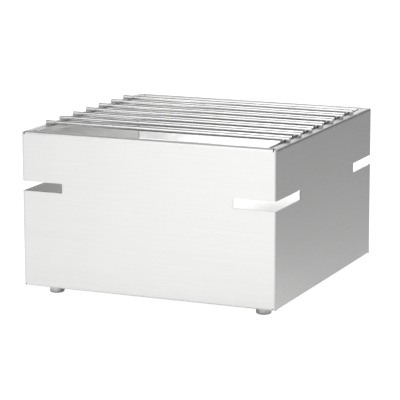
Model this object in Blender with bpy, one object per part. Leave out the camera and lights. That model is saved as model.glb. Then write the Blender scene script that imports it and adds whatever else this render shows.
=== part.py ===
"""Tabletop fire pit: a square housing of folded stainless sheet on four feet, a lift-off grate of seven
round rods that rests on its rim, and a lift-out fuel cup whose damper lid swings on a rivet.

Metres, +Z up. The origin is on the floor under the middle of the housing, and the front faces -Y."""

import math

import bmesh
import bpy
from mathutils import Vector

# Housing, outside sizes.
WIDTH = 0.305
DEPTH = 0.305
WALL_HEIGHT = 0.176
SHEET = 0.0015
FOLD_RADIUS = 0.0028
TOP_FLANGE = 0.011
LIP_DROP = 0.008
BOTTOM_FLANGE = 0.012
CORNER_RELIEF = 0.0016
CORNER_STEP = 0.0005
FOLD_STEPS = 4

# Slots that wrap round each corner, measured from the bottom edge of the walls and from the corner. The
# legs on the sides differ: the longer one starts at the shell's own fold, the shorter one at its seam.
SLOT_RISE = 0.109
SLOT_HEIGHT = 0.011
SLOT_LEG_WIDE = 0.050
SLOT_LEG_AT_FOLD = 0.073
SLOT_LEG_AT_SEAM = 0.062

# Feet, and the screws that hold them to the base plate.
FOOT_HEIGHT = 0.012
FOOT_DIAMETER = 0.017
FOOT_INSET_WIDE = 0.026
FOOT_INSET_DEEP = 0.030
FOOT_FILLET = 0.0015
FOOT_CHAMFER = 0.0004
FOOT_BORE_FLOOR = 0.0030
PAD_DIAMETER = 0.0115
PAD_RECESS = 0.0015
PAD_STAND = 0.0005
PAD_CHAMFER = 0.0003
SCREW_DIAMETER = 0.005
SCREW_TIP_CHAMFER = 0.0004
SCREW_HEAD_DIAMETER = 0.0095
SCREW_HEAD_HEIGHT = 0.0028
SCREW_HEAD_RIM = 0.0008
SCREW_CROWN_RADIUS = 0.0026
SOCKET_RADIUS = 0.0017
SOCKET_DEPTH = 0.0016
WASHER_DIAMETER = 0.0115
WASHER_THICKNESS = 0.0010

BASE_THICKNESS = 0.0015

# Grate.
ROD_COUNT = 7
ROD_DIAMETER = 0.0048
ROD_PITCH = 0.0337
ROD_END_INSET = 0.0044
ROD_CHAMFER = 0.0004
BAR_THICKNESS = 0.0025
BAR_HEIGHT = 0.0075
BAR_EDGE = 0.0003
BAR_CLEARANCE = 0.0008

# Fuel cup with its damper lid.
CUP_RADIUS = 0.046
CUP_HEIGHT = 0.048
CUP_WALL = 0.0012
CUP_CORNER = 0.005
CUP_RIM = 0.002
RING_CLEARANCE = 0.0008
RING_WALL = 0.0015
RING_HEIGHT = 0.008
LID_OVERHANG = 0.002
LID_THICKNESS = 0.0012
EAR_RADIUS = 0.007
PIVOT_REACH = 0.009
BRACKET_THICKNESS = 0.002
BRACKET_WIDTH = 0.014
BRACKET_DROP = 0.008
BRACKET_LEG = 0.014
RIVET_DIAMETER = 0.004
RIVET_HEAD_DIAMETER = 0.008
RIVET_HEAD_HEIGHT = 0.0014
RIVET_HEAD_RIM = 0.0005
RIVET_CROWN_RADIUS = 0.0016
SPACER_DIAMETER = 0.0075
KNOB_DIAMETER = 0.014
KNOB_HEIGHT = 0.010
KNOB_NECK_DIAMETER = 0.007
KNOB_NECK_HEIGHT = 0.003
KNOB_CROWN_RADIUS = 0.004
KNOB_CROWN_RISE = 0.002
KNOB_CHAMFER = 0.0003
KNOB_STUD_DIAMETER = 0.004
KNOB_EDGE_INSET = 0.012

# Clearances: between faces that touch, and round a shank in its hole.
GAP = 0.0003
HOLE_CLEARANCE = 0.0003

ROUND_STEPS = 24
WIDE_ROUND_STEPS = 48
FILLET_STEPS = 3
SMOOTH_ANGLE = math.radians(35)
AXIS_EMPTY_SIZE = 0.02

# Levels above the floor that several pieces share.
RIM_TOP = FOOT_HEIGHT + WALL_HEIGHT
BASE_UNDERSIDE = FOOT_HEIGHT + SHEET + GAP
BASE_TOP = BASE_UNDERSIDE + BASE_THICKNESS
ROD_AXIS = RIM_TOP + GAP + ROD_DIAMETER / 2
CUP_UNDERSIDE = BASE_TOP + GAP
CUP_TOP = CUP_UNDERSIDE + CUP_HEIGHT
LID_UNDERSIDE = CUP_TOP + GAP
LID_TOP = LID_UNDERSIDE + LID_THICKNESS
PIVOT_RADIUS = CUP_RADIUS + PIVOT_REACH
BRACKET_TOP = CUP_TOP - BRACKET_DROP


def clear_scene():
    for item in list(bpy.data.objects):
        bpy.data.objects.remove(item, do_unlink=True)


def metal(name, colour, roughness, metallic=1.0):
    material = bpy.data.materials.new(name)
    material.use_nodes = True
    shader = material.node_tree.nodes["Principled BSDF"]
    shader.inputs["Base Color"].default_value = (*colour, 1.0)
    shader.inputs["Roughness"].default_value = roughness
    shader.inputs["Metallic"].default_value = metallic
    material.diffuse_color = (*colour, 1.0)
    return material


def finish_mesh(name, mesh):
    """Turns a bmesh into mesh data with its faces outward, smooth except across real edges."""
    bmesh.ops.recalc_face_normals(mesh, faces=mesh.faces[:])
    data = bpy.data.meshes.new(name)
    mesh.to_mesh(data)
    mesh.free()
    data.shade_smooth()
    data.set_sharp_from_angle(angle=SMOOTH_ANGLE)
    return data


def place(name, data, material, location=(0, 0, 0), rotation=(0, 0, 0), parent=None):
    """Adds an object. The location is in world coordinates, whatever the parent."""
    item = bpy.data.objects.new(name, data)
    if not data.materials:
        data.materials.append(material)
    bpy.context.scene.collection.objects.link(item)
    item.location = Vector(location) - (parent_origin(parent) if parent else Vector())
    item.rotation_euler = rotation
    item.parent = parent
    return item


def parent_origin(parent):
    origin = Vector()
    while parent:
        origin += parent.location
        parent = parent.parent
    return origin


def axis_empty(name, location, parent=None):
    """An empty on a joint's axis, which carries the pieces that move with it."""
    empty = bpy.data.objects.new(name, None)
    empty.empty_display_size = AXIS_EMPTY_SIZE
    bpy.context.scene.collection.objects.link(empty)
    empty.location = Vector(location) - (parent_origin(parent) if parent else Vector())
    empty.parent = parent
    return empty


def cutter(name, data, location=(0, 0, 0)):
    item = bpy.data.objects.new(name, data)
    bpy.context.scene.collection.objects.link(item)
    item.location = location
    item.hide_render = True
    item.display_type = "WIRE"
    return item


def cut(item, tools):
    for tool in tools:
        modifier = item.modifiers.new(tool.name, "BOOLEAN")
        modifier.operation = "DIFFERENCE"
        modifier.object = tool


def turned(name, profile, steps=ROUND_STEPS):
    """Turns a profile of (radius, height) points about Z. It is closed, or starts and ends on the axis."""
    mesh = bmesh.new()
    rings = []
    for radius, height in profile:
        if radius == 0:
            rings.append([mesh.verts.new((0, 0, height))] * steps)
            continue
        angles = [2 * math.pi * step / steps for step in range(steps)]
        rings.append([mesh.verts.new((radius * math.cos(a), radius * math.sin(a), height)) for a in angles])
    on_axis = profile[0][0] == 0
    pairs = list(zip(rings, rings[1:])) if on_axis else list(zip(rings, rings[1:] + rings[:1]))
    for low, high in pairs:
        for step in range(steps):
            after = (step + 1) % steps
            corners = [low[step], low[after], high[after], high[step]]
            mesh.faces.new(list(dict.fromkeys(corners)))
    return finish_mesh(name, mesh)


def arc(centre, radius, start, end, steps=FILLET_STEPS):
    """Points on an arc in a plane, both ends included. Angles are in degrees."""
    points = []
    for step in range(steps + 1):
        angle = math.radians(start + (end - start) * step / steps)
        points.append((centre[0] + radius * math.cos(angle), centre[1] + radius * math.sin(angle)))
    return points


def dome(radius, crown_radius, start, rise):
    """The profile of a low dome: a quarter of an ellipse from its rim up, or down, to its flat crown."""
    points = []
    for step in range(FILLET_STEPS + 1):
        angle = math.pi / 2 * step / FILLET_STEPS
        out = crown_radius + (radius - crown_radius) * math.cos(angle)
        points.append((out, start + rise * math.sin(angle)))
    return points


def drill(name, radius, thickness):
    """A cutter for a round hole through a plate, long enough to clear both of its faces."""
    return turned(name, [(0, -thickness), (radius, -thickness), (radius, thickness), (0, thickness)])


def extruded(name, outline, bottom, top):
    """A flat plate: an outline in XY between two heights."""
    mesh = bmesh.new()
    low = [mesh.verts.new((x, y, bottom)) for x, y in outline]
    high = [mesh.verts.new((x, y, top)) for x, y in outline]
    mesh.faces.new(low)
    mesh.faces.new(high)
    for index, corner in enumerate(low):
        after = (index + 1) % len(low)
        mesh.faces.new([corner, low[after], high[after], high[index]])
    return finish_mesh(name, mesh)


def rectangle(width, depth, corner):
    """A rectangle about the origin with rounded corners."""
    points = []
    for turn, (side_x, side_y) in enumerate(((1, 1), (-1, 1), (-1, -1), (1, -1))):
        centre = (side_x * (width / 2 - corner), side_y * (depth / 2 - corner))
        points += arc(centre, corner, 90 * turn, 90 * turn + 90)
    return points


def fold_profile():
    """The folded section of a wall, as pairs of (inset, height) on the outer and on the inner face.

    It runs from the edge of the bottom flange, out and up the wall, in along the top flange and down the
    lip. Also returns the row at each end of the flat wall, and the rows of the slot between them."""
    inner = FOLD_RADIUS - SHEET
    top = WALL_HEIGHT
    low, high = (FOLD_RADIUS, FOLD_RADIUS), (FOLD_RADIUS, top - FOLD_RADIUS)
    lip = (TOP_FLANGE - FOLD_RADIUS, top - FOLD_RADIUS)

    def fold(centre, start, end):
        outside = arc(centre, FOLD_RADIUS, start, end, FOLD_STEPS)
        return list(zip(outside, arc(centre, inner, start, end, FOLD_STEPS)))

    rows = [((BOTTOM_FLANGE, 0.0), (BOTTOM_FLANGE, SHEET))]
    rows += fold(low, 270, 180)
    wall_start = len(rows) - 1
    rows += [((0.0, height), (SHEET, height)) for height in (SLOT_RISE, SLOT_RISE + SLOT_HEIGHT)]
    rows += fold(high, 180, 90)
    rows += fold(lip, 90, 0)
    rows.append(((TOP_FLANGE, top - LIP_DROP), (TOP_FLANGE - SHEET, top - LIP_DROP)))
    return rows, wall_start, wall_start + 3


def shell_columns():
    """The folds and walls of one L-shaped shell in plan, as (place, kind) columns in order.

    place(inset, reach) gives the XY point that far inside the outer face. On a straight wall, reach is how
    far in from the corner the row has to stop, where two flanges meet in a mitre. The shell starts in the
    middle of the front left corner, runs along the front, turns, and ends in the middle of the back right
    corner. Its twin is the same shell, half a turn round."""
    seam = math.degrees(GAP / 2 / (FOLD_RADIUS - SHEET / 2))
    half_x, half_y = WIDTH / 2, DEPTH / 2

    def corner(side_x, side_y, start, end, steps):
        centre_x, centre_y = side_x * (half_x - FOLD_RADIUS), side_y * (half_y - FOLD_RADIUS)
        found = []
        for step in range(steps + 1):
            angle = math.radians(start + (end - start) * step / steps)

            def at(inset, _reach, cx=centre_x, cy=centre_y, a=angle):
                radius = FOLD_RADIUS - inset
                return cx + radius * math.cos(a), cy + radius * math.sin(a)

            found.append((at, "corner"))
        return found

    def wall(length, legs, along):
        first = FOLD_RADIUS + CORNER_RELIEF
        found = []
        for distance in (first, legs[0], length - legs[1], length - first):
            share = (distance - first) / (length - 2 * first)

            def at(inset, reach, share=share, length=length, along=along, first=first):
                start = max(first, reach)
                return along(start + share * (length - 2 * start), inset)

            found.append((at, "wall"))
        return found

    def front(distance, inset):
        return -half_x + distance, -half_y + inset

    def right(distance, inset):
        return half_x - inset, -half_y + distance

    columns = corner(-1, -1, 225 + seam, 270, FOLD_STEPS // 2)
    columns += wall(WIDTH, (SLOT_LEG_WIDE, SLOT_LEG_WIDE), front)
    columns += corner(1, -1, 270, 360, FOLD_STEPS)
    columns += wall(DEPTH, (SLOT_LEG_AT_FOLD, SLOT_LEG_AT_SEAM), right)
    columns += corner(1, 1, 0, 45 - seam, FOLD_STEPS // 2)
    return columns


def shell_mesh():
    """One L-shaped shell of sheet, built cell by cell so that its slots and reliefs are true openings."""
    rows, wall_start, wall_end = fold_profile()
    columns = shell_columns()
    slot_row = wall_start + 1
    mesh = bmesh.new()
    verts = {}

    def height_at(column, row, height):
        # At a corner the wall has no flange: it stands up, and hangs down, almost to the outer faces.
        if columns[column][1] == "corner" and row == wall_start - 1:
            return CORNER_STEP
        if columns[column][1] == "corner" and row == wall_end + 1:
            return WALL_HEIGHT - CORNER_STEP
        return height

    def vertex(column, row, face):
        key = (column, row, face)
        if key not in verts:
            inset, height = rows[row][face]
            if columns[column][1] == "corner":
                inset = SHEET * face
            reach = max(rows[row][0][0], rows[row][1][0]) + GAP
            if wall_start <= row <= wall_end:
                reach = 0.0
            x, y = columns[column][0](inset, reach)
            verts[key] = mesh.verts.new((x, y, height_at(column, row, height)))
        return verts[key]

    def filled(column, row):
        if not (0 <= column < len(columns) - 1 and 0 <= row < len(rows) - 1):
            return False
        kinds = {columns[column][1], columns[column + 1][1]}
        if kinds == {"wall"}:
            middle = columns[column - 1][1] == "wall" and columns[column + 2][1] == "wall"
            return row != slot_row or middle
        if kinds == {"corner"}:
            return wall_start - 1 <= row <= wall_end and row != slot_row
        return wall_start <= row < wall_end and row != slot_row

    for column in range(len(columns) - 1):
        for row in range(len(rows) - 1):
            if not filled(column, row):
                continue
            for face in (0, 1):
                corners = ((column, row), (column + 1, row), (column + 1, row + 1), (column, row + 1))
                mesh.faces.new([vertex(c, r, face) for c, r in corners])
            edges = (
                (filled(column - 1, row), (column, row), (column, row + 1)),
                (filled(column + 1, row), (column + 1, row), (column + 1, row + 1)),
                (filled(column, row - 1), (column, row), (column + 1, row)),
                (filled(column, row + 1), (column, row + 1), (column + 1, row + 1)),
            )
            for closed, start, end in edges:
                if not closed:
                    mesh.faces.new([vertex(*start, 0), vertex(*end, 0), vertex(*end, 1), vertex(*start, 1)])
    return finish_mesh("shell", mesh)


def build_housing(steel, dark_steel, rubber):
    data = shell_mesh()
    place("shell_front_right", data, steel, (0, 0, FOOT_HEIGHT))
    place("shell_back_left", data, steel, (0, 0, FOOT_HEIGHT), (0, 0, math.pi))

    inset = FOLD_RADIUS + GAP
    outline = rectangle(WIDTH - 2 * inset, DEPTH - 2 * inset, FOLD_RADIUS)
    plate = place("base_plate", extruded("base_plate", outline, 0, BASE_THICKNESS), dark_steel)
    plate.location.z = BASE_UNDERSIDE
    hole = drill("screw_hole", SCREW_DIAMETER / 2 + HOLE_CLEARANCE, BASE_THICKNESS)
    level = BASE_UNDERSIDE + BASE_THICKNESS / 2
    cut(plate, [cutter("hole_" + name, hole, (x, y, level)) for name, x, y in foot_places()])
    build_feet(steel, dark_steel, rubber)


def foot_places():
    reach_x, reach_y = WIDTH / 2 - FOOT_INSET_WIDE, DEPTH / 2 - FOOT_INSET_DEEP
    sides = (("front_left", -1, -1), ("front_right", 1, -1), ("back_left", -1, 1), ("back_right", 1, 1))
    return [(name, side_x * reach_x, side_y * reach_y) for name, side_x, side_y in sides]


def build_feet(steel, dark_steel, rubber):
    radius, bore = FOOT_DIAMETER / 2, SCREW_DIAMETER / 2 + HOLE_CLEARANCE
    top = FOOT_HEIGHT + SHEET
    recess = PAD_STAND + PAD_RECESS
    pad_radius = PAD_DIAMETER / 2
    foot = [(0, recess), (pad_radius + GAP, recess), (pad_radius + GAP, PAD_STAND)]
    foot += arc((radius - FOOT_FILLET, PAD_STAND + FOOT_FILLET), FOOT_FILLET, 270, 360)
    foot += [(radius, top - FOOT_CHAMFER), (radius - FOOT_CHAMFER, top), (bore, top)]
    foot += [(bore, recess + FOOT_BORE_FLOOR), (0, recess + FOOT_BORE_FLOOR)]
    foot_data = turned("foot", foot)

    pad = [(0, 0), (pad_radius - PAD_CHAMFER, 0), (pad_radius, PAD_CHAMFER)]
    pad += [(pad_radius, recess - GAP), (0, recess - GAP)]
    pad_data = turned("foot_pad", pad)

    washer_low, washer_high = BASE_TOP + GAP, BASE_TOP + GAP + WASHER_THICKNESS
    washer_radius = WASHER_DIAMETER / 2
    washer = [(bore, washer_low), (washer_radius, washer_low)]
    washer += [(washer_radius, washer_high), (bore, washer_high)]
    washer_data = turned("foot_washer", washer)

    seat = washer_high + GAP
    crown = seat + SCREW_HEAD_HEIGHT
    head, shank = SCREW_HEAD_DIAMETER / 2, SCREW_DIAMETER / 2
    tip = recess + FOOT_BORE_FLOOR + GAP
    screw = [(0, tip), (shank - SCREW_TIP_CHAMFER, tip), (shank, tip + SCREW_TIP_CHAMFER)]
    screw += [(shank, seat), (head, seat)]
    screw += dome(head, SCREW_CROWN_RADIUS, seat + SCREW_HEAD_RIM, SCREW_HEAD_HEIGHT - SCREW_HEAD_RIM)
    screw += [(SOCKET_RADIUS, crown), (SOCKET_RADIUS, crown - SOCKET_DEPTH), (0, crown - SOCKET_DEPTH)]
    screw_data = turned("foot_screw", screw)

    for name, x, y in foot_places():
        place("foot_" + name, foot_data, steel, (x, y, 0))
        place("foot_pad_" + name, pad_data, rubber, (x, y, 0))
        place("foot_washer_" + name, washer_data, steel, (x, y, 0))
        place("foot_screw_" + name, screw_data, dark_steel, (x, y, 0))


def build_grate(bright_steel):
    lift = axis_empty("grate_lift", (0, 0, RIM_TOP))
    half = WIDTH / 2 - ROD_END_INSET
    radius = ROD_DIAMETER / 2
    rod = [(0, -half), (radius - ROD_CHAMFER, -half), (radius, -half + ROD_CHAMFER)]
    rod += [(x, -z) for x, z in reversed(rod)]
    rod_data = turned("grate_rod", rod)
    for number in range(ROD_COUNT):
        y = (number - (ROD_COUNT - 1) / 2) * ROD_PITCH
        name = f"grate_rod_{number + 1}"
        place(name, rod_data, bright_steel, (0, y, ROD_AXIS), (0, math.pi / 2, 0), lift)

    length = DEPTH - 2 * (TOP_FLANGE + BAR_CLEARANCE)
    bar_data = extruded("grate_bar", rectangle(BAR_THICKNESS, length, BAR_EDGE), -BAR_HEIGHT, 0)
    reach = WIDTH / 2 - TOP_FLANGE - BAR_CLEARANCE - BAR_THICKNESS / 2
    for name, side in (("left", -1), ("right", 1)):
        place("grate_cross_bar_" + name, bar_data, bright_steel, (side * reach, 0, RIM_TOP), parent=lift)


def lid_outline():
    """A disc and its pivot ear at +X, joined by the two straight lines that touch both."""
    disc = CUP_RADIUS + CUP_RIM + LID_OVERHANG
    touch = math.degrees(math.acos((disc - EAR_RADIUS) / PIVOT_RADIUS))
    outline = arc((0, 0), disc, touch, 360 - touch, WIDE_ROUND_STEPS)
    outline += arc((PIVOT_RADIUS, 0), EAR_RADIUS, -touch, touch, ROUND_STEPS // 3)
    return outline


def build_burner(steel, dark_steel, black):
    ring_inner = CUP_RADIUS + RING_CLEARANCE
    ring_low, ring_high = BASE_TOP + GAP, BASE_TOP + GAP + RING_HEIGHT
    ring = [(ring_inner, ring_low), (ring_inner + RING_WALL, ring_low)]
    ring += [(ring_inner + RING_WALL, ring_high), (ring_inner, ring_high)]
    place("cup_ring", turned("cup_ring", ring, WIDE_ROUND_STEPS), steel)

    lift = axis_empty("fuel_cup_lift", (0, 0, CUP_UNDERSIDE))
    corner_centre = (CUP_RADIUS - CUP_CORNER, CUP_CORNER)
    cup = [(0, 0)] + arc(corner_centre, CUP_CORNER, 270, 360, FOLD_STEPS)
    cup += [(CUP_RADIUS, CUP_HEIGHT - CUP_WALL), (CUP_RADIUS + CUP_RIM, CUP_HEIGHT - CUP_WALL)]
    cup += [(CUP_RADIUS + CUP_RIM, CUP_HEIGHT), (CUP_RADIUS - CUP_WALL, CUP_HEIGHT)]
    cup += arc(corner_centre, CUP_CORNER - CUP_WALL, 360, 270, FOLD_STEPS) + [(0, CUP_WALL)]
    place("fuel_cup", turned("fuel_cup", cup, WIDE_ROUND_STEPS), steel, (0, 0, CUP_UNDERSIDE), parent=lift)
    build_bracket(dark_steel, lift)
    build_lid(steel, black, lift)


def build_bracket(dark_steel, lift):
    """An angle on the cup's side: a leg against the wall, and a shelf that the rivet goes through."""
    inner = CUP_RADIUS + GAP
    outer = PIVOT_RADIUS + EAR_RADIUS
    leg = inner + BRACKET_THICKNESS
    section = [(inner, -BRACKET_LEG), (leg, -BRACKET_LEG), (leg, -BRACKET_THICKNESS)]
    section += [(outer, -BRACKET_THICKNESS), (outer, 0), (inner, 0)]
    mesh = bmesh.new()
    near = [mesh.verts.new((x, -BRACKET_WIDTH / 2, z)) for x, z in section]
    face = mesh.faces.new(near)
    made = bmesh.ops.extrude_face_region(mesh, geom=[face])
    far = [item for item in made["geom"] if isinstance(item, bmesh.types.BMVert)]
    bmesh.ops.translate(mesh, verts=far, vec=(0, BRACKET_WIDTH, 0))
    data = finish_mesh("pivot_bracket", mesh)
    bracket = place("pivot_bracket", data, dark_steel, (0, 0, BRACKET_TOP), parent=lift)
    hole = drill("bracket_drill", RIVET_DIAMETER / 2 + HOLE_CLEARANCE, BRACKET_THICKNESS)
    cut(bracket, [cutter("bracket_hole", hole, (PIVOT_RADIUS, 0, BRACKET_TOP - BRACKET_THICKNESS / 2))])


def build_lid(steel, black, lift):
    shank, hole = RIVET_DIAMETER / 2, RIVET_DIAMETER / 2 + HOLE_CLEARANCE
    head = RIVET_HEAD_DIAMETER / 2
    pivot = (PIVOT_RADIUS, 0, 0)
    low, high = BRACKET_TOP - BRACKET_THICKNESS - GAP, LID_TOP + GAP
    rise = RIVET_HEAD_HEIGHT - RIVET_HEAD_RIM
    rivet = [(0, low - RIVET_HEAD_HEIGHT)]
    rivet += reversed(dome(head, RIVET_CROWN_RADIUS, low - RIVET_HEAD_RIM, -rise))
    rivet += [(head, low), (shank, low), (shank, high), (head, high)]
    rivet += dome(head, RIVET_CROWN_RADIUS, high + RIVET_HEAD_RIM, rise)
    rivet.append((0, high + RIVET_HEAD_HEIGHT))
    place("pivot_rivet", turned("pivot_rivet", rivet), steel, pivot, parent=lift)

    spacer_low, spacer_high = BRACKET_TOP + GAP, LID_UNDERSIDE - GAP
    outer = SPACER_DIAMETER / 2
    spacer = [(hole, spacer_low), (outer, spacer_low), (outer, spacer_high), (hole, spacer_high)]
    place("pivot_spacer", turned("pivot_spacer", spacer), steel, pivot, parent=lift)

    swing = axis_empty("damper_lid_pivot", (PIVOT_RADIUS, 0, LID_UNDERSIDE), lift)
    lid = place("damper_lid", extruded("damper_lid", lid_outline(), 0, LID_THICKNESS), steel, parent=swing)
    lid.location = (-PIVOT_RADIUS, 0, 0)
    knob_x = -(CUP_RADIUS + CUP_RIM + LID_OVERHANG - KNOB_EDGE_INSET)
    stud = KNOB_STUD_DIAMETER / 2
    holes = []
    for name, radius, x in (("rivet", hole, PIVOT_RADIUS), ("knob", stud + HOLE_CLEARANCE, knob_x)):
        through = drill(name + "_drill", radius, LID_THICKNESS)
        holes.append(cutter(name + "_hole", through, (x, 0, LID_UNDERSIDE + LID_THICKNESS / 2)))
    cut(lid, holes)

    neck, grip = KNOB_NECK_DIAMETER / 2, KNOB_DIAMETER / 2
    bottom = LID_TOP + GAP
    shoulder, crown = bottom + KNOB_NECK_HEIGHT, bottom + KNOB_HEIGHT
    knob = [(0, LID_UNDERSIDE), (stud, LID_UNDERSIDE), (stud, bottom), (neck, bottom), (neck, shoulder)]
    knob += [(grip - KNOB_CHAMFER, shoulder), (grip, shoulder + KNOB_CHAMFER)]
    knob += dome(grip, KNOB_CROWN_RADIUS, crown - KNOB_CROWN_RISE, KNOB_CROWN_RISE)
    knob.append((0, crown))
    place("lid_knob", turned("lid_knob", knob), black, (knob_x, 0, 0), parent=swing)


def main():
    clear_scene()
    brushed = metal("brushed_steel", (0.62, 0.62, 0.61), 0.34)
    polished = metal("polished_steel", (0.70, 0.70, 0.70), 0.16)
    mill = metal("mill_steel", (0.45, 0.45, 0.45), 0.45)
    rubber = metal("rubber", (0.02, 0.02, 0.02), 0.8, 0.0)
    phenolic = metal("black_phenolic", (0.015, 0.015, 0.015), 0.35, 0.0)
    build_housing(brushed, mill, rubber)
    build_grate(polished)
    build_burner(brushed, mill, phenolic)


main()
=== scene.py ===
"""The looks of the tabletop fire pit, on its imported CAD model.

Each CAD piece gets its brushed, drawn or turned steel, rubber or black plastic. Weld beads are added, and a
plain white studio, with the camera in front of the object, to its right and a little above."""

import math

import bmesh
import bpy
from mathutils import Matrix, Vector


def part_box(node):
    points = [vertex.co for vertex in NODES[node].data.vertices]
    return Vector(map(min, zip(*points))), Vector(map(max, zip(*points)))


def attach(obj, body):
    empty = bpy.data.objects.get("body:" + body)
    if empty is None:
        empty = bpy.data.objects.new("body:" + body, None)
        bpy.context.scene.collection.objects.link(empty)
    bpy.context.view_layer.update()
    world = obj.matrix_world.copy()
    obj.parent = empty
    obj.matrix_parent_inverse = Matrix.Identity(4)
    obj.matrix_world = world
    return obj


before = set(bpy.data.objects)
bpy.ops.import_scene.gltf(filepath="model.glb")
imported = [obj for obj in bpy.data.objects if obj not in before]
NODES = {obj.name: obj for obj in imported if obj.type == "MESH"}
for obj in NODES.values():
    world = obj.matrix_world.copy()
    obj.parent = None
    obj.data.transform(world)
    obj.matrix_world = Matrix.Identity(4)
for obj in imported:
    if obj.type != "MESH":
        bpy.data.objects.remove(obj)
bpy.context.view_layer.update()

SHELLS = ("shell_front_right", "shell_back_left")
RODS = [f"grate_rod_{number + 1}" for number in range(7)]
BARS = ("grate_cross_bar_left", "grate_cross_bar_right")
CORNERS = ("front_left", "front_right", "back_left", "back_right")

# Camera: where it stands in metres, and its turn, downward tilt and roll in degrees.
CAMERA_PLACE = (0.9584, -2.1938, 0.5819)
CAMERA_TURN = 23.657
CAMERA_DROP = 11.534
CAMERA_ROLL = -0.175
CAMERA_LENS_MM = 190.13
CAMERA_CLIP = (0.05, 60.0)

# Room: the world's strength for light and reflections, and for what the camera sees.
ROOM_GREY = 0.12
ROOM_WHITE = 1.1

# Floor: its colour, what it gives off towards the camera, and the glow that the steel mirrors. The glow
# changes with distance from the middle, from front left to back right, and under the housing.
FLOOR_SIZE = 12.0
FLOOR_GREY = 0.50
FLOOR_WHITE = 0.95
FLOOR_GLOW = {"front_near": 1.25, "front_far": 1.3, "back_near": 0.58, "back_far": 0.34}
GLOW_NEAR, GLOW_FAR = 0.2, 0.75
GLOW_FRONT, GLOW_BACK = -0.25, 0.3
GLOW_TURN_X, GLOW_TURN_Y = 0.6, 0.8
UNDER_SHADE = 0.15
UNDER_EDGES = (0.125, 0.175)

# Softboxes: azimuth (0 in front, positive to the right), elevation, distance, width, height, strength.
SOFTBOXES = {
    "left_front": (-48, 16, 2.8, 1.2, 1.5, 0.15),
    "front_left": (-13, 18, 2.8, 1.4, 1.6, 1.85),
    "front": (14, 18, 3.2, 1.3, 1.6, 0.6),
    "high_front": (-14, 50, 2.8, 2.4, 1.7, 2.4),
    "front_right": (48, 18, 3.4, 1.6, 1.5, 0.3),
    "right": (100, 30, 3.0, 1.8, 1.5, 0.3),
    "back_left": (-156, 13, 2.8, 1.5, 1.3, 1.35),
    "back": (178, 27, 2.8, 1.2, 0.7, 1.0),
    "back_high": (180, 52, 2.8, 2.4, 1.6, 0.4),
    "left": (-100, 18, 2.8, 1.8, 1.4, 0.5),
    "overhead": (0, 88, 2.4, 1.8, 1.8, 0.5),
}
SOFTBOX_AIM = (0, 0, 0.1)

# A soft strip inside the housing, low behind the front wall, that lights only the back left shell. It has
# the same six values as a softbox, and then the point that it faces.
INNER_FILL = (0, 0, 0.146, 0.28, 0.10, 8.2, (-0.005, 0.0, 0.062))

# Finishes: colour and roughness.
FINISHES = {
    "brushed_steel": ((0.60, 0.60, 0.595), 0.40),
    "mill_steel": ((0.62, 0.62, 0.615), 0.42),
    "polished_steel": ((0.56, 0.56, 0.56), 0.22),
    "bar_steel": ((0.60, 0.60, 0.60), 0.30),
    "bracket_steel": ((0.50, 0.50, 0.495), 0.36),
    "foot_steel": ((0.50, 0.50, 0.50), 0.14),
    "fastener_steel": ((0.52, 0.52, 0.52), 0.28),
    "cup_steel": ((0.58, 0.58, 0.575), 0.38),
    "ring_steel": ((0.50, 0.50, 0.495), 0.36),
    "rivet_steel": ((0.52, 0.52, 0.52), 0.28),
    "weld_steel": ((0.55, 0.545, 0.53), 0.36),
    "rubber": ((0.02, 0.02, 0.02), 0.8),
    "black_phenolic": ((0.02, 0.02, 0.02), 0.38),
}

# Grain: cycles of noise per metre, along it and across it.
HAIRLINES = (16.0, 2600.0)
STREAKS = (4.0, 420.0)
SWELLS = (16.0, 5.0)
DIE_LINES = (6.0, 2600.0)
TURNING_LINES = 1400.0

# Clouds and specks: cycles of noise per metre.
SHEET_CLOUDS = 9.0
ROD_CLOUDS = 35.0
TURNED_CLOUDS = 60.0
WELD_LUMPS = 900.0
WELD_TINTS = 160.0
RUBBER_SPECKS = 900.0
PHENOLIC_SPECKS = 400.0

# The depth, in metres, of each kind of relief that only the shader shows.
HAIRLINE_DEPTH = 0.00001
SWELL_DEPTH = 0.0004
TURNING_DEPTH = 0.000008
SPECK_DEPTH = 0.00004
LUMP_DEPTH = 0.00005

# Painted light: the housing's inner faces get a raised colour that makes them read brighter, most of all on
# the front and back walls.
INNER_PAINTED_LIGHT = 1.55
INNER_PAINTED_LIGHT_SIDES = 1.1
INNER_ROUGHER = 0.15
INNER_REACH = -0.05

# Shifts the pattern on the left and right walls, so that it doesn't match the front's and the back's.
SIDE_SHIFT = 3.7

# Small offsets that keep a tangent from vanishing where the surface faces along the grain or the axis.
GRAIN_LEAN = (0.0, 0.0, 0.01)
AXIS_LEAN = 0.00001

# Edges: the bevel's width on fine, sheet and soft pieces, and the angle from which an edge gets one.
FINE_EDGE = 0.0001
SHEET_EDGE = 0.00015
SOFT_EDGE = 0.0002
BEVEL_SEGMENTS = 2
BEVEL_ANGLE = 35.0

# Weld beads: they tie each rod to the cross bars, and close the two corner seams on the inside.
BEAD_RADIUS = 0.0008
BEAD_SINK = 0.3
BEAD_SIDES = 10
BEAD_RIPPLE = 0.12
RIPPLE_LENGTH = 0.0009
STEPS_PER_RIPPLE = 4
TIP_LENGTH = 1.6
TIP_START = 0.15
SADDLE_HALF_ANGLE = 52
SADDLE_STEPS = 12
SEAM_BEAD_RADIUS = 0.0011
SEAM_CORNER_INSET = 0.0021
SEAM_END_CLEARANCE = 0.004

# The slots' lower and upper edges, in metres above the floor.
SLOT_HEIGHTS = (0.121, 0.132)


# ---------------------------------------------------------------- shader building blocks

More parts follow.
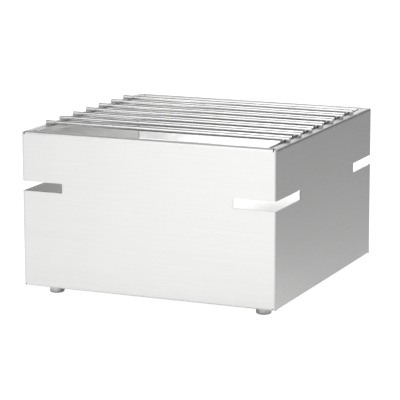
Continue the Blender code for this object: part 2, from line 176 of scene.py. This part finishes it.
class Graph:
    """A material's node tree, with short calls for the nodes that these finishes need."""

    def __init__(self, name):
        self.material = bpy.data.materials.new(name)
        self.material.use_nodes = True
        self.nodes = self.material.node_tree.nodes
        self.links = self.material.node_tree.links
        self.shader = self.nodes["Principled BSDF"]

    def put(self, socket, value):
        """Links a socket or sets a value, and leaves the input alone on None."""
        if isinstance(value, bpy.types.NodeSocket):
            self.links.new(value, socket)
        elif value is not None:
            socket.default_value = value

    def math(self, operation, first, second=None):
        node = self.nodes.new("ShaderNodeMath")
        node.operation = operation
        for socket, value in zip(node.inputs, (first, second)):
            self.put(socket, value)
        return node.outputs[0]

    def vector(self, operation, first, second=None, scale=None):
        node = self.nodes.new("ShaderNodeVectorMath")
        node.operation = operation
        self.put(node.inputs[0], first)
        self.put(node.inputs[1], second)
        # The fourth input is the scale. It can be named only where the operation uses it.
        self.put(node.inputs[3], scale)
        return node.outputs["Value" if operation in ("DOT_PRODUCT", "LENGTH") else "Vector"]

    def combine(self, x, y, z):
        node = self.nodes.new("ShaderNodeCombineXYZ")
        for socket, value in zip(node.inputs, (x, y, z)):
            self.put(socket, value)
        return node.outputs[0]

    def separate(self, vector):
        node = self.nodes.new("ShaderNodeSeparateXYZ")
        self.put(node.inputs[0], vector)
        return node.outputs

    def place(self):
        return self.nodes.new("ShaderNodeTexCoord").outputs["Object"]

    def normal(self):
        return self.nodes.new("ShaderNodeNewGeometry").outputs["Normal"]

    def to_camera(self):
        """1 for a ray that comes straight from the camera, and 0 for light and reflections."""
        return self.nodes.new("ShaderNodeLightPath").outputs["Is Camera Ray"]

    def noise(self, vector, scale, detail=2.0, rough=0.5):
        node = self.nodes.new("ShaderNodeTexNoise")
        self.put(node.inputs["Vector"], vector)
        node.inputs["Scale"].default_value = scale
        node.inputs["Detail"].default_value = detail
        node.inputs["Roughness"].default_value = rough
        return node.outputs["Fac"]

    def span(self, value, low, high, from_low=0.3, from_high=0.7):
        """Stretches a value onto low to high. Without limits, it takes a noise's middle range."""
        node = self.nodes.new("ShaderNodeMapRange")
        self.put(node.inputs["Value"], value)
        node.inputs["From Min"].default_value = from_low
        node.inputs["From Max"].default_value = from_high
        self.put(node.inputs["To Min"], low)
        self.put(node.inputs["To Max"], high)
        return node.outputs["Result"]

    def choose(self, share, at_none, at_all):
        """at_none where the share is 0, at_all where it is 1, and a blend between."""
        return self.span(share, at_none, at_all, 0.0, 1.0)

    def tint(self, colour, factor):
        """The colour times a grey factor."""
        return self.vector("SCALE", colour, scale=factor)

    def bump(self, height, distance, strength=1.0, normal=None):
        node = self.nodes.new("ShaderNodeBump")
        node.inputs["Strength"].default_value = strength
        node.inputs["Distance"].default_value = distance
        self.put(node.inputs["Height"], height)
        self.put(node.inputs["Normal"], normal)
        return node.outputs["Normal"]

    def set(self, **inputs):
        """Links or sets the shader's inputs, with each space in a name written as an underscore."""
        for name, value in inputs.items():
            self.put(self.shader.inputs[name.replace("_", " ")], value)


def grain_frame(graph):
    """(along, up, tangent, inside, side) on folded sheet whose grain runs round the housing.

    The grain follows X on the front and back walls and Y on the left and right ones, so it turns at each
    mitre. along and up are distances with the grain and across it. Highlights spread across the grain, so
    the tangent is square to it. inside is 1 on the faces that look towards the housing's axis, and side is
    1 on the left and right walls."""
    place, normal = graph.place(), graph.normal()
    x, y, _ = graph.separate(place)
    side = graph.math("GREATER_THAN", graph.math("ABSOLUTE", x), graph.math("ABSOLUTE", y))
    grain = graph.combine(graph.math("SUBTRACT", 1.0, side), side, 0.0)
    tangent = graph.vector("ADD", graph.vector("CROSS_PRODUCT", normal, grain), GRAIN_LEAN)
    along = graph.vector("DOT_PRODUCT", place, grain)
    across = graph.vector("DOT_PRODUCT", place, tangent)
    up = graph.math("ADD", across, graph.math("MULTIPLY", side, SIDE_SHIFT))
    level = graph.vector("MULTIPLY", normal, (1.0, 1.0, 0.0))
    outward = graph.vector("DOT_PRODUCT", place, level)
    inside = graph.math("LESS_THAN", outward, INNER_REACH)
    return along, up, tangent, inside, side


def stretched(graph, along, up, scales, seed, detail=3.0):
    """Noise drawn out in one direction of a sheet."""
    run = graph.math("MULTIPLY", along, scales[0])
    rise = graph.math("MULTIPLY", up, scales[1])
    return graph.noise(graph.combine(run, rise, seed), 1.0, detail, 0.55)


# ---------------------------------------------------------------- finishes

def brushed_sheet(finish, anisotropy, housing=False):
    """Satin sheet: hair-fine grain, faint streaks and soft clouds.

    The housing's sheet is also slightly wavy and duller on its inner faces, which are painted brighter: a
    raised colour that stands in for light inside the housing."""
    colour, rough = FINISHES[finish]
    graph = Graph(finish)
    along, up, tangent, inside, side = grain_frame(graph)
    fine = stretched(graph, along, up, HAIRLINES, 0.0)
    streak = stretched(graph, along, up, STREAKS, 2.0)
    cloud = graph.noise(graph.place(), SHEET_CLOUDS, 3.0)
    tone = graph.math("MULTIPLY", graph.span(streak, 0.985, 1.015), graph.span(cloud, 0.985, 1.015))
    tone = graph.math("MULTIPLY", tone, graph.span(fine, 0.97, 1.03))
    grain_gloss = graph.span(fine, rough - 0.04, rough + 0.04)
    gloss = graph.math("ADD", grain_gloss, graph.span(cloud, -0.02, 0.02))
    relief = graph.bump(fine, HAIRLINE_DEPTH, 0.3)
    if housing:
        # Painted light: the inner faces' colour is raised so they read brighter, most on the front and back
        # walls.
        painted_light = graph.choose(side, INNER_PAINTED_LIGHT, INNER_PAINTED_LIGHT_SIDES)
        tone = graph.math("MULTIPLY", tone, graph.choose(inside, 1.0, painted_light))
        gloss = graph.math("ADD", gloss, graph.math("MULTIPLY", inside, INNER_ROUGHER))
        swell = stretched(graph, along, up, SWELLS, 5.0, 1.0)
        relief = graph.bump(swell, SWELL_DEPTH, 1.0, relief)
    graph.set(Base_Color=graph.tint(colour, tone), Roughness=gloss, Metallic=1.0,
              Anisotropic=anisotropy, Tangent=tangent, Normal=relief)
    return graph.material


def drawn_bar(finish):
    """Bright drawn round bar: faint die lines along X."""
    colour, rough = FINISHES[finish]
    graph = Graph(finish)
    x, y, z = graph.separate(graph.place())
    run = graph.math("MULTIPLY", x, DIE_LINES[0])
    round_y, round_z = (graph.math("MULTIPLY", part, DIE_LINES[1]) for part in (y, z))
    lines = graph.noise(graph.combine(run, round_y, round_z), 1.0)
    cloud = graph.noise(graph.place(), ROD_CLOUDS)
    cloud_gloss = graph.span(cloud, rough - 0.03, rough + 0.04)
    graph.set(Base_Color=graph.tint(colour, graph.span(lines, 0.98, 1.02)),
              Roughness=graph.math("ADD", cloud_gloss, graph.span(lines, -0.02, 0.03)),
              Metallic=1.0)
    return graph.material


def turned_metal(finish, where="", centre=(0.0, 0.0), anisotropy=0.5):
    """Metal turned or spun about an upright axis: fine rings in height and radius."""
    colour, rough = FINISHES[finish]
    graph = Graph(finish + where)
    spot = graph.vector("SUBTRACT", graph.place(), (*centre, 0.0))
    x, y, z = graph.separate(spot)
    radius = graph.vector("LENGTH", graph.combine(x, y, 0.0))
    out, rise = (graph.math("MULTIPLY", part, TURNING_LINES) for part in (radius, z))
    rings = graph.noise(graph.combine(out, rise, 0.0), 1.0)
    cloud = graph.noise(spot, TURNED_CLOUDS, 3.0)
    ring_gloss = graph.span(rings, rough - 0.04, rough + 0.05)
    round_the_axis = graph.combine(graph.math("MULTIPLY", y, -1.0), x, AXIS_LEAN)
    graph.set(Base_Color=graph.tint(colour, graph.span(cloud, 0.95, 1.04)),
              Roughness=graph.math("ADD", ring_gloss, graph.span(cloud, -0.02, 0.03)),
              Metallic=1.0, Anisotropic=anisotropy,
              Tangent=graph.vector("CROSS_PRODUCT", graph.normal(), round_the_axis),
              Normal=graph.bump(rings, TURNING_DEPTH, 0.3))
    return graph.material


def matt_black(finish, specks):
    """Rubber or hard plastic with a fine, even speckle."""
    colour, rough = FINISHES[finish]
    graph = Graph(finish)
    speck = graph.noise(graph.place(), specks, 3.0)
    graph.set(Base_Color=graph.tint(colour, graph.span(speck, 0.7, 1.4)),
              Roughness=graph.span(speck, rough - 0.08, rough + 0.08),
              Normal=graph.bump(speck, SPECK_DEPTH, 0.3))
    return graph.material


def weld_metal(finish):
    """Weld metal: soft lumps, a straw to grey tint and an uneven gloss."""
    colour, rough = FINISHES[finish]
    graph = Graph(finish)
    lumps = graph.noise(graph.place(), WELD_LUMPS, 3.0)
    tint = graph.noise(graph.place(), WELD_TINTS)
    warm = graph.combine(graph.span(tint, 1.0, 1.08), 1.0, graph.span(tint, 1.0, 0.88))
    graph.set(Base_Color=graph.vector("MULTIPLY", colour, warm),
              Roughness=graph.span(lumps, rough - 0.08, rough + 0.1),
              Metallic=1.0, Normal=graph.bump(lumps, LUMP_DEPTH, 0.4))
    return graph.material


# ---------------------------------------------------------------- CAD pieces

def dress(names, material, edge):
    """Gives pieces a material, smooth shading and a fine bevel on their real edges."""
    for name in names:
        item = NODES[name]
        item.data.materials.clear()
        item.data.materials.append(material)
        item.data.shade_smooth()
        bevel = item.modifiers.new("edge", "BEVEL")
        bevel.width = edge
        bevel.segments = BEVEL_SEGMENTS
        bevel.limit_method = "ANGLE"
        bevel.angle_limit = math.radians(BEVEL_ANGLE)
        bevel.harden_normals = True


def upright_axis(name):
    """The X and Y of the middle of a piece."""
    low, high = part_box(name)
    return (low[0] + high[0]) / 2, (low[1] + high[1]) / 2


def dress_pieces():
    dress(SHELLS, brushed_sheet("brushed_steel", 0.75, housing=True), SHEET_EDGE)
    dress(["base_plate"], brushed_sheet("mill_steel", 0.4), SHEET_EDGE)
    dress(RODS, drawn_bar("polished_steel"), FINE_EDGE)
    dress(BARS, brushed_sheet("bar_steel", 0.5), SOFT_EDGE)
    rubber = matt_black("rubber", RUBBER_SPECKS)
    for corner in CORNERS:
        where, centre = "_" + corner, upright_axis("foot_" + corner)
        dress(["foot" + where], turned_metal("foot_steel", where, centre, 0.2), FINE_EDGE)
        fastener = turned_metal("fastener_steel", where, centre)
        dress(["foot_washer" + where, "foot_screw" + where], fastener, FINE_EDGE)
        dress(["foot_pad" + where], rubber, FINE_EDGE)
    dress(["fuel_cup", "damper_lid"], turned_metal("cup_steel"), SOFT_EDGE)
    dress(["cup_ring"], turned_metal("ring_steel"), SOFT_EDGE)
    dress(["pivot_bracket"], brushed_sheet("bracket_steel", 0.4), SOFT_EDGE)
    rivet = turned_metal("rivet_steel", centre=upright_axis("pivot_rivet"))
    dress(["pivot_rivet", "pivot_spacer"], rivet, FINE_EDGE)
    dress(["lid_knob"], matt_black("black_phenolic", PHENOLIC_SPECKS), SOFT_EDGE)


# ---------------------------------------------------------------- weld beads

def add_bead(mesh, points, radius):
    """A ripple-topped tube along the points, drawn in to a rounded tip at each end."""
    rings = []
    travelled = 0.0
    total = sum((after - before).length for before, after in zip(points, points[1:]))
    for index, point in enumerate(points):
        before, after = points[max(index - 1, 0)], points[min(index + 1, len(points) - 1)]
        along = (after - before).normalized()
        if index:
            travelled += (point - points[index - 1]).length
        to_end = min(travelled, total - travelled)
        taper = math.sqrt(min(1.0, (to_end + TIP_START * radius) / (TIP_LENGTH * radius)))
        ripple = 1.0 + BEAD_RIPPLE * math.sin(2 * math.pi * travelled / RIPPLE_LENGTH)
        side = along.orthogonal().normalized()
        up = along.cross(side)
        ring = []
        for step in range(BEAD_SIDES):
            turn = 2 * math.pi * step / BEAD_SIDES
            spoke = side * math.cos(turn) + up * math.sin(turn)
            ring.append(mesh.verts.new(point + spoke * radius * taper * ripple))
        rings.append(ring)
    for low, high in zip(rings, rings[1:]):
        for step in range(BEAD_SIDES):
            following = (step + 1) % BEAD_SIDES
            mesh.faces.new((low[step], low[following], high[following], high[step]))
    mesh.faces.new(rings[0][::-1])
    mesh.faces.new(rings[-1])


def place_mesh(name, mesh):
    """The bmesh as a new object in the scene."""
    data = bpy.data.meshes.new(name)
    mesh.to_mesh(data)
    mesh.free()
    item = bpy.data.objects.new(name, data)
    bpy.context.scene.collection.objects.link(item)
    return item


def finish_beads(name, mesh, body, material):
    bmesh.ops.recalc_face_normals(mesh, faces=mesh.faces)
    item = place_mesh(name, mesh)
    item.data.shade_smooth()
    item.data.materials.append(material)
    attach(item, body)


def build_grate_welds(material):
    """A saddle under each rod, on both sides of each cross bar."""
    sink = BEAD_RADIUS * BEAD_SINK
    mesh = bmesh.new()
    for bar in BARS:
        low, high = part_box(bar)
        for rod in RODS:
            rod_low, rod_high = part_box(rod)
            reach = (rod_high[2] - rod_low[2]) / 2 + sink
            middle_y = (rod_low[1] + rod_high[1]) / 2
            middle_z = (rod_low[2] + rod_high[2]) / 2
            for x in (low[0] - sink, high[0] + sink):
                points = []
                for step in range(SADDLE_STEPS + 1):
                    turn = math.radians(SADDLE_HALF_ANGLE * (2 * step / SADDLE_STEPS - 1))
                    y = middle_y + reach * math.sin(turn)
                    points.append(Vector((x, y, middle_z - reach * math.cos(turn))))
                add_bead(mesh, points, BEAD_RADIUS)
    finish_beads("grate_welds", mesh, "grate", material)


def build_seam_welds(material):
    """Inside the front left and back right corners, below and above the slots."""
    low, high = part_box("shell_front_right")
    slot_low, slot_high = SLOT_HEIGHTS
    mesh = bmesh.new()
    for x, y in ((low[0] + SEAM_CORNER_INSET, low[1] + SEAM_CORNER_INSET),
                 (high[0] - SEAM_CORNER_INSET, high[1] - SEAM_CORNER_INSET)):
        for bottom, top in ((low[2], slot_low), (slot_high, high[2])):
            bottom, top = bottom + SEAM_END_CLEARANCE, top - SEAM_END_CLEARANCE
            count = round((top - bottom) / (RIPPLE_LENGTH / STEPS_PER_RIPPLE))
            steps = [bottom + (top - bottom) * step / count for step in range(count + 1)]
            add_bead(mesh, [Vector((x, y, z)) for z in steps], SEAM_BEAD_RADIUS)
    finish_beads("seam_welds", mesh, "housing", material)


# ---------------------------------------------------------------- studio

def build_floor():
    """A white floor. The glow that the steel mirrors fades outwards, to the back right and under the box."""
    mesh = bmesh.new()
    bmesh.ops.create_grid(mesh, x_segments=1, y_segments=1, size=FLOOR_SIZE / 2)
    floor = place_mesh("floor", mesh)
    graph = Graph("pale_floor")
    x, y, _ = graph.separate(graph.place())
    radius = graph.vector("LENGTH", graph.combine(x, y, 0.0))
    near = graph.span(radius, 1.0, 0.0, GLOW_NEAR, GLOW_FAR)
    part_x = graph.math("MULTIPLY", x, GLOW_TURN_X)
    part_y = graph.math("MULTIPLY", y, GLOW_TURN_Y)
    front = graph.span(graph.math("ADD", part_y, part_x), 1.0, 0.0, GLOW_FRONT, GLOW_BACK)
    at_front = graph.choose(near, FLOOR_GLOW["front_far"], FLOOR_GLOW["front_near"])
    at_back = graph.choose(near, FLOOR_GLOW["back_far"], FLOOR_GLOW["back_near"])
    out = graph.math("MAXIMUM", graph.math("ABSOLUTE", x), graph.math("ABSOLUTE", y))
    shade = graph.span(out, UNDER_SHADE, 1.0, *UNDER_EDGES)
    mirrored = graph.math("MULTIPLY", graph.choose(front, at_back, at_front), shade)
    glow = graph.choose(graph.to_camera(), mirrored, FLOOR_WHITE)
    graph.set(Base_Color=(FLOOR_GREY, FLOOR_GREY, FLOOR_GREY, 1), Roughness=0.9, Specular_IOR_Level=0.1,
              Emission_Color=(1, 1, 1, 1), Emission_Strength=glow)
    floor.data.materials.append(graph.material)


def softbox(name, azimuth, elevation, distance, width, height, strength, aim=SOFTBOX_AIM):
    """An area light that faces the aim and that the camera doesn't see."""
    light = bpy.data.lights.new(name, "AREA")
    light.shape = "RECTANGLE"
    light.size, light.size_y = width, height
    light.energy = strength * math.pi * width * height
    item = bpy.data.objects.new(name, light)
    bpy.context.scene.collection.objects.link(item)
    a, e = math.radians(azimuth), math.radians(elevation)
    toward = Vector((math.sin(a) * math.cos(e), -math.cos(a) * math.cos(e), math.sin(e)))
    item.location = Vector(aim) + toward * distance
    item.rotation_euler = toward.to_track_quat("Z", "Y").to_euler()
    item.visible_camera = False
    return item


def build_lights():
    for name, settings in SOFTBOXES.items():
        softbox(name, *settings)
    lit = bpy.data.collections.new("inner_fill_receivers")
    lit.objects.link(NODES["shell_back_left"])
    softbox("inner_fill", *INNER_FILL).light_linking.receiver_collection = lit


def build_world():
    """A dim even room for the light and the reflections, and plain white for the camera."""
    world = bpy.data.worlds.new("studio")
    bpy.context.scene.world = world
    world.use_nodes = True
    nodes, links = world.node_tree.nodes, world.node_tree.links
    room, white = nodes["Background"], nodes.new("ShaderNodeBackground")
    for background, strength in ((room, ROOM_GREY), (white, ROOM_WHITE)):
        background.inputs["Color"].default_value = (1, 1, 1, 1)
        background.inputs["Strength"].default_value = strength
    path = nodes.new("ShaderNodeLightPath")
    mix = nodes.new("ShaderNodeMixShader")
    links.new(path.outputs["Is Camera Ray"], mix.inputs[0])
    links.new(room.outputs[0], mix.inputs[1])
    links.new(white.outputs[0], mix.inputs[2])
    links.new(mix.outputs[0], nodes["World Output"].inputs["Surface"])


def build_camera():
    data = bpy.data.cameras.new("camera")
    data.lens = CAMERA_LENS_MM
    data.clip_start, data.clip_end = CAMERA_CLIP
    camera = bpy.data.objects.new("camera", data)
    bpy.context.scene.collection.objects.link(camera)
    turn = Matrix.Rotation(math.radians(CAMERA_TURN), 4, "Z")
    tip = Matrix.Rotation(math.radians(90 - CAMERA_DROP), 4, "X")
    roll = Matrix.Rotation(math.radians(CAMERA_ROLL), 4, "Z")
    camera.matrix_world = Matrix.Translation(CAMERA_PLACE) @ turn @ tip @ roll
    bpy.context.scene.camera = camera


def main():
    build_camera()
    dress_pieces()
    welds = weld_metal("weld_steel")
    build_grate_welds(welds)
    build_seam_welds(welds)
    build_floor()
    build_world()
    build_lights()
    bpy.context.scene.view_settings.view_transform = "Standard"
    bpy.context.scene.view_settings.look = "None"


main()
